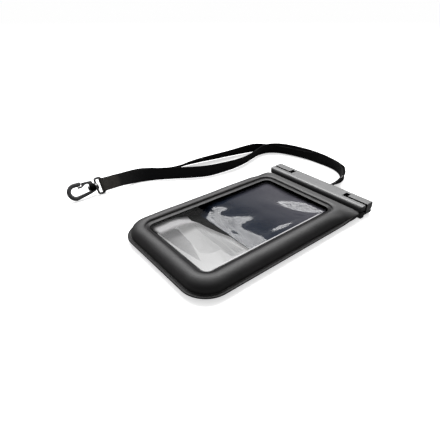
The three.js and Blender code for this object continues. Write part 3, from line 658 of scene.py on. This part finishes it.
# Rear half: a flat base, a round belly and the welded flange
def rearSection(share):
    split = lerp(pad["flangeHeight"], pad["mouthHeight"], share) - pad["gap"]
    outerEnd = lerp(pad["margin"], pad["neckReach"], share)
    outerStart = lerp(pad["padEnd"], pad["neckReach"] - 0.5, share)
    rimBottom = split - lerp(pad["sheet"], pad["neckLip"], share)
    flat = pad["flat"]
    belly = []
    for k in range(1, pad["bellySteps"]):
        angle = math.pi / 2 * k / pad["bellySteps"]
        out = outerStart - (outerStart - flat) * (1 - math.cos(angle))
        belly.append((out, rimBottom * (1 - math.sin(angle))))
    band = pad["bandWidth"]
    points = [(0, 0.8), (band, 0.8), (band, split), (outerEnd, split), (outerEnd, rimBottom + 0.2)]
    points.append((lerp(outerStart, outerEnd, 0.9), rimBottom + 0.02))
    points.append((lerp(outerStart, outerEnd, 0.3), rimBottom))
    points += [(outerStart, rimBottom)] + belly + [(flat, 0), (6.0, 0.0), (3.6, 0.0), (0.3, 0.0), (0, 0.25)]
    return points


# Slow unevenness of the stuffing, in millimetres, from a place in plan
def stuffing(x, y):
    wave = math.sin(x * 0.11 + 1.3) * math.sin(y * 0.083 + 0.4)
    wave += 0.6 * math.sin(x * 0.21 - y * 0.17 + 2.1)
    return 0.16 * wave


# One half of the frame, with the flap that runs up into the clamp
def frameHalf(section, flapTop, front):
    inner = windowOutline(0)
    bandEdge = windowOutline(pad["bandWidth"])
    outer = outline(
        pad["outerHalf"], pad["outerStart"], pad["outerEnd"], pad["outerCorner"], pad["neckCorner"],
    )
    vertices = []
    across = 0
    for i, place in enumerate(outer):
        share = neckShare(place[1])
        reach = lerp(pad["margin"], pad["neckReach"], share)
        points = section(share)
        across = len(points)
        for out, z in points:
            onBand = out <= pad["bandWidth"]
            a = inner[i] if onBand else bandEdge[i]
            b = bandEdge[i] if onBand else place
            t = out / pad["bandWidth"] if onBand else (out - pad["bandWidth"]) / (reach - pad["bandWidth"])
            x = lerp(a[0], b[0], t)
            y = lerp(a[1], b[1], t)
            if front and pad["padStart"] < out < pad["padEnd"] - 0.3 and z > 6:
                swell = math.sin(math.pi * (out - pad["padStart"]) / (pad["padEnd"] - pad["padStart"]))
                z += stuffing(x, y) * swell
            vertices.append((x, y, z))
    faces = ringFaces(len(outer), across)
    base = len(vertices)
    half, start, end = pad["flapHalf"], pad["flapStart"], pad["flapEnd"]
    for z in (flapTop - pad["sheet"], flapTop):
        vertices += [(-half, start, z), (half, start, z), (half, end, z), (-half, end, z)]
    for corners in ((0, 3, 2, 1), (4, 5, 6, 7), (0, 1, 5, 4), (1, 2, 6, 5), (2, 3, 7, 6), (3, 0, 4, 7)):
        faces.append(tuple(base + c for c in corners))
    return vertices, faces


frontPad = addPiece(
    "paddedFront", *frameHalf(frontSection, pad["frontFlap"], True), frameSkin, "pouch", "frame_vinyl", 35,
)
for skin in (weldSkin, rimSkin, cavityShadeSkin):
    frontPad.data.materials.append(skin)

# The band, the inner wall and the rim have skins of their own; the inner wall's near-black skin is painted
# shade of the cavity
bandPoints = 10
sectionPoints = len(frontSection(0))
rimFirst = bandPoints + pad["padSteps"] + 3
flapCorners = 8
for face in frontPad.data.polygons:
    if max(face.vertices) >= len(frontPad.data.vertices) - flapCorners:
        continue
    spots = {v % sectionPoints for v in face.vertices}
    if max(spots) < bandPoints:
        face.material_index = 1
    elif min(spots) >= sectionPoints - 3 or (0 in spots and sectionPoints - 1 in spots):
        face.material_index = 3
    elif min(spots) >= rimFirst:
        face.material_index = 2
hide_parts("front_frame")
rearPad = addPiece(
    "paddedBack", *frameHalf(rearSection, pad["rearFlap"], False), frameSkin, "pouch", "frame_vinyl", 35,
)
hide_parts("rear_frame")
print("padded frame")

film = {
    "half": 44.7, "start": -91.15, "end": 62.25, "corner": 10.2, "thickness": 0.4, "columns": 126,
    "rows": 204, "windowBase": 11.4, "backBase": 1.1, "clearEnd": -33.25, "seam": -33.1,
    "panelStart": -32.95, "panelDetail": 0.8,
}


def filmHalfWidth(y, start, end, startRadius, endRadius):
    half = film["half"]
    for distance, radius in ((y - start, startRadius), (end - y, endRadius)):
        if radius and distance < radius:
            half = film["half"] - radius + math.sqrt(max(radius ** 2 - (radius - distance) ** 2, 0.0))
    return half


def filmSheet(name, start, end, startRadius, endRadius, base, height, material, slot, detail=1.0):
    columns = int(film["columns"] * detail)
    rows = int(film["rows"] * detail)
    vertices = []
    for lift in (film["thickness"], 0.0):
        for j in range(rows + 1):
            share = 0.5 - 0.5 * math.cos(math.pi * j / rows)
            y = lerp(start, end, lerp(j / rows, share, 0.35))
            half = filmHalfWidth(y, start, end, startRadius, endRadius)
            for i in range(columns + 1):
                across = 2 * i / columns - 1
                x = half * lerp(across, math.sin(math.pi / 2 * across), 0.5)
                vertices.append((x, y, base + lift + height(x, y)))
    faces = []
    wide = columns + 1
    layer = wide * (rows + 1)
    for j in range(rows):
        for i in range(columns):
            a = j * wide + i
            faces.append((a, a + 1, a + 1 + wide, a + wide))
            faces.append(tuple(layer + c for c in (a, a + wide, a + 1 + wide, a + 1)))
    rim = [i for i in range(wide)] + [j * wide + columns for j in range(1, rows + 1)]
    rim += [rows * wide + i for i in range(columns - 1, -1, -1)] + [j * wide for j in range(rows - 1, 0, -1)]
    for k, a in enumerate(rim):
        b = rim[(k + 1) % len(rim)]
        faces.append((a, layer + a, layer + b, b))
    return addPiece(name, vertices, faces, material, "pouch", slot, 30)


# Each swell of the panel: its middle, the direction of its length, half its length, half its
# width, and its steepest slope. The panel leans there towards the low side of the room.
panelSwells = [
    (14.2, 46.6, 24, 18, 8.5, 0.32), (-3.2, -10.5, 74, 12.5, 8, 0.18), (-29.5, -15.5, 62, 8.5, 4.5, 0.15),
    (28.6, 7.6, 88, 12, 3.6, 0.3), (-18, 34, 70, 24, 9, 0.06), (6, 20, 15, 24, 7, 0.07),
]


def swellHeight(x, y, swells):
    total = 0.0
    for cx, cy, angle, halfLength, halfWidth, slope in swells:
        turn = math.radians(angle)
        u = (-(x - cx) * math.sin(turn) + (y - cy) * math.cos(turn)) / halfWidth
        v = ((x - cx) * math.cos(turn) + (y - cy) * math.sin(turn)) / halfLength
        total += slope * halfWidth * u * math.exp(-(u * u + v * v) / 2)
    return total


# Gentle ripples of the front film
def windowWave(x, y):
    total = 0.28 * math.sin(x * 0.085 + 0.6) * math.sin(y * 0.061 + 0.9)
    total += 0.20 * math.sin(x * 0.05 - y * 0.088 + 1.0)
    total += 0.10 * math.sin(x * 0.17 + y * 0.06 + 0.5) * math.sin(y * 0.14 - x * 0.05)
    inside = min(pad["windowHalf"] - abs(x), y - pad["windowStart"], pad["windowEnd"] - y)
    return total * smoothStep(y, -70, -40) * smoothStep(inside, 0, 8)


window = filmSheet(
    "windowFilm", film["start"], film["end"], film["corner"], film["corner"], film["windowBase"], windowWave,
    windowClear, "clear_film",
)
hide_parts("front_window")


# Distance inwards from the window's rounded edge
def windowInset(x, y):
    radius = pad["windowCorner"]
    middle = (pad["windowStart"] + pad["windowEnd"]) / 2
    dx = abs(x) - pad["windowHalf"] + radius
    dy = abs(y - middle) - (pad["windowEnd"] - middle) + radius
    return radius - (math.hypot(dx, dy) if dx > 0 and dy > 0 else max(dx, dy))


# The film is tinted darker under the band and just inside the window's edge, and a painted highlight, a pale
# line, runs along its right rim
filmEdge = {
    "dark": 0.9, "darkInset": (1.6, 1.1), "paintedHighlight": 0.6, "highlightFrom": (39.0, 39.5), "highlightTo": (40.4, 39.9),
    "highlightStart": (-78.0, -60.0), "highlightEnd": (50.0, 40.0),
}


def filmEdgeMarks(piece):
    layer = piece.data.color_attributes.new("filmDarkening", "FLOAT_COLOR", "POINT")
    milkAndHighlightLayer = piece.data.color_attributes.new("milkAndHighlight", "FLOAT_COLOR", "POINT")
    for vertex in piece.data.vertices:
        x, y = vertex.co.x / mm, vertex.co.y / mm
        # Painted highlight: a pale line along the right rim
        highlightShare = filmEdge["paintedHighlight"] * smoothStep(x, *filmEdge["highlightFrom"]) * smoothStep(x, *filmEdge["highlightTo"])
        highlightShare *= smoothStep(y, *filmEdge["highlightStart"]) * smoothStep(y, *filmEdge["highlightEnd"])
        border = filmEdge["dark"] * smoothStep(windowInset(x, y), *filmEdge["darkInset"])
        layer.data[vertex.index].color = (border, border, border, 1.0)
        milkAndHighlightLayer.data[vertex.index].color = (highlightShare, highlightShare, highlightShare, 1.0)


filmEdgeMarks(window)


# How far the empty pouch's back sheets stand up under the window, along the pouch. They are
# held down where they meet.
backRise = [
    (-95, 6.8), (-75, 7.2), (-66, 7.6), (-57, 6.8), (-49, 4.4), (-42, 1.9), (-38, 1.0), (-32.5, 1.0),
    (-24.5, 3.4), (-19, 6.4), (-12, 7.1), (13, 7.0), (42, 7.0), (52, 7.4), (65, 8.2),
]
riseSteps = (-1.8, -0.9, 0.0, 0.9, 1.8)


def tableValue(table, x):
    for (x0, y0), (x1, y1) in zip(table, table[1:]):
        if x <= x1:
            return lerp(y0, y1, (x - x0) / (x1 - x0))
    return table[-1][1]


def backWave(x, y):
    inside = min(film["half"] - abs(x), y - film["start"], film["end"] - y)
    rise = sum(tableValue(backRise, y + step) for step in riseSteps) / len(riseSteps)
    rise *= smoothStep(inside, 0.3, 1.7) * lerp(1.0, 0.8, math.cos(x / film["half"] * math.pi / 2))
    if y < film["seam"]:
        return rise
    return rise + swellHeight(x, y, panelSwells) * smoothStep(min(inside, y - film["seam"]), 1.7, 9.0)


# Where the clear back film is tinted darker: where it lies double, painted shade of the floor where it stands
# off it, and two darker streaks. Outline, softness of its edge, darkness at its first and last point
filmFoldsAndShade = [
    (
        [(-39.2, -76.9), (-25.8, -66.4), (-2.7, -69.0), (22.5, -77.5), (-0.2, -80.6), (-34.3, -83.4)],
        1.2, 0.42, 0.16,
    ),
    (
        [(-42.9, -76), (-43, -34), (32, -34), (32.0, -54.2), (18.9, -55.6), (19.8, -63.1), (18.2, -67.4),
         (12.9, -71.4), (-4.6, -68.5), (-27.9, -65.1)],
        0.8, 0.10, 0.10,
    ),
    (
        [(-24.4, -49.3), (-16.0, -45.5), (17.7, -46.1), (31.6, -50.6), (30.5, -55.0), (12.5, -52.5),
         (-6.6, -52.6), (-19.8, -51.5)],
        1.6, 0.10, 0.12,
    ),
    (
        [(-13.0, -43.3), (2.1, -39.7), (27.7, -37.3), (28.1, -46.5), (11.3, -45.1), (-8.1, -44.9)],
        1.4, 0.05, 0.14,
    ),
]
# The strip beside the left wall where the back film has gone milky
milkStrip = {"share": 0.93, "across": (-27.0, -33.0), "along": (-84.0, -80.0)}


# Signed distance to the outline's edge, positive inside
def insideOutline(x, y, points):
    nearest = 1e9
    within = False
    for k, (x0, y0) in enumerate(points):
        x1, y1 = points[(k + 1) % len(points)]
        dx, dy = x1 - x0, y1 - y0
        t = min(max(((x - x0) * dx + (y - y0) * dy) / (dx * dx + dy * dy), 0.0), 1.0)
        nearest = min(nearest, math.hypot(x - x0 - t * dx, y - y0 - t * dy))
        if (y0 > y) != (y1 > y) and x < x0 + (y - y0) / dy * dx:
            within = not within
    return nearest if within else -nearest


def layFoldsAndShade(piece):
    layer = piece.data.color_attributes.new("filmDarkening", "FLOAT_COLOR", "POINT")
    milkAndHighlightLayer = piece.data.color_attributes.new("milkAndHighlight", "FLOAT_COLOR", "POINT")
    for vertex in piece.data.vertices:
        x, y = vertex.co.x / mm, vertex.co.y / mm
        clear = 1.0
        # Painted shade and folds: the film is tinted darker inside each outline
        for points, softness, first, last in filmFoldsAndShade:
            share = smoothStep(insideOutline(x, y, points), -softness / 2, softness / 2)
            if share:
                spread = [px for px, py in points]
                along = (x - min(spread)) / (max(spread) - min(spread))
                clear *= 1 - share * lerp(first, last, min(max(along, 0.0), 1.0))
        shade = 1 - clear
        layer.data[vertex.index].color = (shade, shade, shade, 1.0)
        diffuseWhite = milkStrip["share"] * smoothStep(x, *milkStrip["across"]) * smoothStep(y, *milkStrip["along"])
        milkAndHighlightLayer.data[vertex.index].color = (diffuseWhite, diffuseWhite, diffuseWhite, 1.0)


cameraFilm = filmSheet(
    "cameraWindowFilm", film["start"], film["clearEnd"], film["corner"], 0, film["backBase"], backWave,
    windowClear, "clear_film",
)
layFoldsAndShade(cameraFilm)
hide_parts("rear_camera_window")
backPanel = filmSheet(
    "backPanel", film["panelStart"], film["end"], 0, film["corner"], film["backBase"], backWave,
    navyVinyl, "panel_vinyl", film["panelDetail"],
)
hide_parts("rear_panel")


# Black strip along the panel's free edge, widest towards the left: painted shade of the gap under the panel's
# edge, made as a hem
edgeShadeStrip = {
    "section": ((0.0, 0.0), (0.0, 0.22), (0.06, 0.3), (0.94, 0.3), (1.0, 0.22), (1.0, 0.0)),
    "lower": [(-43.6, -44.5), (-34.0, -46.5), (-29.3, -42.4), (-17.5, -39.9), (-6.7, -37.0), (6.5, -33.2)],
    "from": -43.6, "to": 6.4, "upper": -32.6, "height": 1.52, "steps": 60,
}


def buildEdgeShade():
    section = edgeShadeStrip["section"]
    steps = edgeShadeStrip["steps"]
    vertices = []
    for i in range(steps + 1):
        x = lerp(edgeShadeStrip["from"], edgeShadeStrip["to"], i / steps)
        low = tableValue(edgeShadeStrip["lower"], x)
        for across, lift in section:
            y = lerp(low, edgeShadeStrip["upper"], across)
            vertices.append((x, y, edgeShadeStrip["height"] + lift + backWave(x, y)))
    faces = ringFaces(steps + 1, len(section))[:steps * len(section)]
    faces.append(tuple(range(len(section))))
    faces.append(tuple(steps * len(section) + k for k in reversed(range(len(section)))))
    return addPiece("panelEdgeShade", vertices, faces, edgeShadeVinyl, "pouch", "frame_vinyl", 40)


buildEdgeShade()
print("films")

# A moulded piece: the CAD form with its corners rounded, as the tool leaves them
def mouldedPiece(name, body, material, rounding, segments=2, change=None, shaded=None, second=None):
    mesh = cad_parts[name].data.copy()
    mesh.materials.clear()
    mesh.materials.append(material)
    work = bmesh.new()
    work.from_mesh(mesh)
    bmesh.ops.remove_doubles(work, verts=work.verts, dist=2e-6)
    bmesh.ops.dissolve_limit(work, angle_limit=math.radians(1.5), verts=work.verts, edges=work.edges)
    if change:
        for vertex in work.verts:
            vertex.co = Vector(change(*(vertex.co / mm))) * mm
    bmesh.ops.recalc_face_normals(work, faces=work.faces)
    sharp = [e for e in work.edges if len(e.link_faces) == 2 and e.calc_face_angle(0) > math.radians(38)]
    bmesh.ops.bevel(
        work, geom=sharp, offset=rounding * mm, segments=segments, profile=0.5, affect="EDGES",
        clamp_overlap=True,
    )
    bmesh.ops.recalc_face_normals(work, faces=work.faces)
    bmesh.ops.triangulate(work, faces=[f for f in work.faces if len(f.verts) > 4])
    if shaded:
        mesh.materials.append(second or shadeAndMatteBlack)
        for face in work.faces:
            if shaded(face.calc_center_median() / mm, face.normal):
                face.material_index = 1
    work.to_mesh(mesh)
    work.free()
    piece = bpy.data.objects.new(name + "Moulded", mesh)
    bpy.context.collection.objects.link(piece)
    selectOnly(piece)
    bpy.ops.object.shade_smooth_by_angle(angle=math.radians(50))
    weighted = piece.modifiers.new("weighted", "WEIGHTED_NORMAL")
    weighted.keep_sharp = True
    bpy.ops.object.modifier_apply(modifier=weighted.name)
    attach(piece, body)
    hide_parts(name)
    return piece


# The latch's front face stands back, so that its joint line shows beside it
latch = {"front": 88.45, "jointLine": 2.3}


def latchJoint(x, y, z):
    return x, y + (latch["jointLine"] if abs(y - latch["front"]) < 0.02 else 0.0), z


# The front bar's nose runs round the clamp's ends
clampNose = {"front": 82.05, "half": 59.5, "radius": 3.0}


def roundedNose(x, y, z):
    depth = y - clampNose["front"]
    radius = clampNose["radius"]
    if depth < radius and abs(x) > clampNose["half"] - radius:
        limit = clampNose["half"] - radius + math.sqrt(max(radius ** 2 - (radius - depth) ** 2, 0.0))
        x = math.copysign(min(abs(x), max(limit, clampNose["half"] - 0.8 * radius)), x)
    return x, y, z


# The walls and floors of the joint lines and finger notches, and the latches' front faces, take a near-black
# plastic: painted shade in the recesses
joint = {"start": 88.0, "end": 97.0, "inner": 32.5, "floor": 7.5, "top": 13.2, "latchFoot": 3.0}


def insideJoint(place, normal):
    level = joint["start"] < place.y < joint["end"] and joint["floor"] < place.z < joint["top"]
    return level and abs(place.x) > joint["inner"]


def latchJointFace(place, normal):
    return normal.y < -0.5 and place.z > joint["latchFoot"]


mouldedPiece("front_clamp_bar", "pouch", clampPlastic, 0.3, 2, roundedNose, insideJoint)
mouldedPiece("rear_clamp_bar", "pouch", clampPlastic, 0.3, 2, roundedNose, insideJoint)
mouldedPiece("left_latch", "left_latch", latchPlastic, 0.4, 3, latchJoint, latchJointFace)
mouldedPiece("right_latch", "right_latch", latchPlastic, 0.4, 3, latchJoint, latchJointFace)
# The hook's loop narrows towards the barrel, and the gate lies closed in line with the nose
hook = {
    "barrelStart": 8.5, "barrelEnd": 13.5, "loopEnd": 30.5, "narrowing": 3.3, "headClear": -3.0,
    "gateEnd": 20.85, "gateLift": 0.8, "gateTop": 7.5, "collar": (5.05, 8.3), "collarBore": 2.6,
    "barrelFoot": 13.7, "barrelSkin": 4.35, "headSide": -5.3, "headEnd": 17.0, "lowerBar": -4.3,
    "gateSide": 2.0, "gateSkin": 6.1, "gateSlope": 0.42, "gateMiddle": 15.0, "gateTip": (20.8, 19.0),
    "gateRoot": (13.5, 16.0),
}


def hookForm(x, y, z):
    place = Vector((x, y, z)) - webbing["ringBar"]
    along, wide = place.dot(hookAlong), place.dot(hookWide)
    shift = 0.0
    besideHead = hook["barrelEnd"] + 0.1 < along < hook["headEnd"]
    if hook["headSide"] < wide < hook["headClear"] and besideHead:
        shift = hook["headClear"] - wide
    elif wide < hook["lowerBar"]:
        shift = smoothStep(along, hook["barrelStart"], hook["barrelEnd"]) * hook["narrowing"]
        shift *= min(1.0, max(0.0, (hook["loopEnd"] - along) / (hook["loopEnd"] - hook["barrelEnd"])))
    elif wide > hook["gateSide"] and along < hook["gateEnd"]:
        if wide > hook["gateSkin"] - hook["gateSlope"] * (along - hook["gateMiddle"]):
            shift = max(0.0, hook["gateTop"] - wide)
        else:
            shift = hook["gateLift"] * smoothStep(along, *hook["gateTip"])
        shift *= smoothStep(along, *hook["gateRoot"])
    moved = Vector((x, y, z)) + hookWide * shift
    return moved.x, moved.y, moved.z


def onAxis(place):
    away = place - webbing["ringBar"]
    along = away.dot(hookAlong)
    return along, (away - hookAlong * along).length


def collarFace(place, normal):
    along, radius = onAxis(place)
    return hook["collar"][0] < along < hook["collar"][1] and radius > hook["collarBore"]


def barrelFace(place, normal):
    along, radius = onAxis(place)
    return along < hook["barrelFoot"] and radius < hook["barrelSkin"]


mouldedPiece("swivel_ring", "pouch", ringPlastic, 0.35, 2, None, collarFace, hookPlastic)
mouldedPiece("snap_hook", "snap_hook", hookPlastic, 0.4, 3, hookForm, barrelFace)

for name in ("front_sealing_strip", "rear_sealing_strip"):
    dressNode(name, sealRubber)
for name in ("left_latch_pin", "right_latch_pin"):
    dressNode(name, pinSteel)

# White room: the floor shows pale but throws little light back, and what is mirrored grows
# brighter upwards and towards the side away from the camera
room = {
    "floorRadius": 40.0, "bounce": 0.16, "glow": 0.56, "ambient": 0.5, "horizon": (0.45, 0.75),
    "upward": (0.35, 1.3), "farSide": (-0.774, 0.633, 0.0), "sideSpan": (-0.5, 0.7), "sideways": (0.04, 1.0),
}


def buildFloor():
    work = bmesh.new()
    bmesh.ops.create_circle(work, cap_ends=True, segments=96, radius=room["floorRadius"])
    mesh = bpy.data.meshes.new("floor")
    work.to_mesh(mesh)
    work.free()
    floor = bpy.data.objects.new("floor", mesh)
    bpy.context.collection.objects.link(floor)
    material, tree, output, place = newMaterial("paleFloor")
    speck = addNode(tree, "ShaderNodeTexNoise", {"Vector": place.outputs["Object"], "Scale": 40.0})
    tone = addNode(tree, "ShaderNodeValToRGB", {"Fac": speck.outputs["Fac"]})
    setRamp(tone, 0xEDEDED, 0xF1F1F1)
    path = addNode(tree, "ShaderNodeLightPath")
    matte = addNode(tree, "ShaderNodeBsdfDiffuse", {"Color": tone.outputs["Color"]})
    dim = addNode(tree, "ShaderNodeBsdfDiffuse", {"Color": (*[room["bounce"]] * 3, 1)})
    bounced = addNode(tree, "ShaderNodeMath", {
        0: path.outputs["Is Glossy Ray"], 1: path.outputs["Is Diffuse Ray"],
    }, operation="MAXIMUM")
    ground = addNode(tree, "ShaderNodeMixShader", {
        0: bounced.outputs["Value"], 1: matte.outputs["BSDF"], 2: dim.outputs["BSDF"],
    })
    lift = addNode(tree, "ShaderNodeMath", {
        0: path.outputs["Is Camera Ray"], 1: room["glow"],
    }, operation="MULTIPLY")
    glow = addNode(tree, "ShaderNodeEmission", {"Strength": lift.outputs["Value"]})
    both = addNode(tree, "ShaderNodeAddShader", {0: ground.outputs["Shader"], 1: glow.outputs["Emission"]})
    tree.links.new(both.outputs["Shader"], output.inputs["Surface"])
    mesh.materials.append(material)


def buildWorld():
    world = bpy.data.worlds.new("studio")
    bpy.context.scene.world = world
    world.use_nodes = True
    tree = world.node_tree
    tree.nodes.clear()
    place = addNode(tree, "ShaderNodeTexCoord")
    split = addNode(tree, "ShaderNodeSeparateXYZ", {"Vector": place.outputs["Generated"]})
    rise = addNode(tree, "ShaderNodeMapRange", {
        "Value": split.outputs["Z"], "From Min": room["horizon"][0], "From Max": room["horizon"][1],
        "To Min": room["upward"][0], "To Max": room["upward"][1],
    })
    behind = addNode(tree, "ShaderNodeVectorMath", {
        0: place.outputs["Generated"], 1: room["farSide"],
    }, operation="DOT_PRODUCT")
    share = addNode(tree, "ShaderNodeMapRange", {
        "Value": behind.outputs["Value"], "From Min": room["sideSpan"][0], "From Max": room["sideSpan"][1],
        "To Min": room["sideways"][0], "To Max": room["sideways"][1],
    })
    glossy = addNode(tree, "ShaderNodeMath", {
        0: rise.outputs["Result"], 1: share.outputs["Result"],
    }, operation="MULTIPLY")
    path = addNode(tree, "ShaderNodeLightPath")
    seen = addNode(tree, "ShaderNodeMath", {
        0: path.outputs["Is Camera Ray"], 1: path.outputs["Is Transmission Ray"],
    }, operation="MAXIMUM")
    diffuse = addNode(tree, "ShaderNodeMix", {
        "Factor": path.outputs["Is Glossy Ray"], "A": room["ambient"], "B": glossy.outputs["Value"],
    }, data_type="FLOAT")
    strength = addNode(tree, "ShaderNodeMix", {
        "Factor": seen.outputs["Value"], "A": diffuse.outputs["Result"], "B": 1.0,
    }, data_type="FLOAT")
    background = addNode(tree, "ShaderNodeBackground", {"Strength": strength.outputs["Result"]})
    background.inputs["Color"].default_value = (1, 1, 1, 1)
    output = addNode(tree, "ShaderNodeOutputWorld")
    tree.links.new(background.outputs["Background"], output.inputs["Surface"])


# The one big softbox behind the pouch; its angles are degrees, its sizes metres
softbox = {
    "azimuth": 142, "elevation": 58, "distance": 1.3, "width": 1.5, "height": 0.62, "radiance": 10.5,
}


def addSoftbox(name):
    light = bpy.data.lights.new(name, "AREA")
    light.shape = "RECTANGLE"
    light.size = softbox["width"]
    light.size_y = softbox["height"]
    light.energy = softbox["radiance"] * math.pi * softbox["width"] * softbox["height"]
    box = bpy.data.objects.new(name, light)
    turn = math.radians(softbox["azimuth"])
    rise = math.radians(softbox["elevation"])
    away = Vector((math.cos(turn) * math.cos(rise), math.sin(turn) * math.cos(rise), math.sin(rise)))
    box.location = away * softbox["distance"]
    box.rotation_euler = away.to_track_quat("Z", "Y").to_euler()
    bpy.context.collection.objects.link(box)


buildFloor()
buildWorld()
addSoftbox("keySoftbox")
bpy.context.scene.view_settings.view_transform = "Standard"
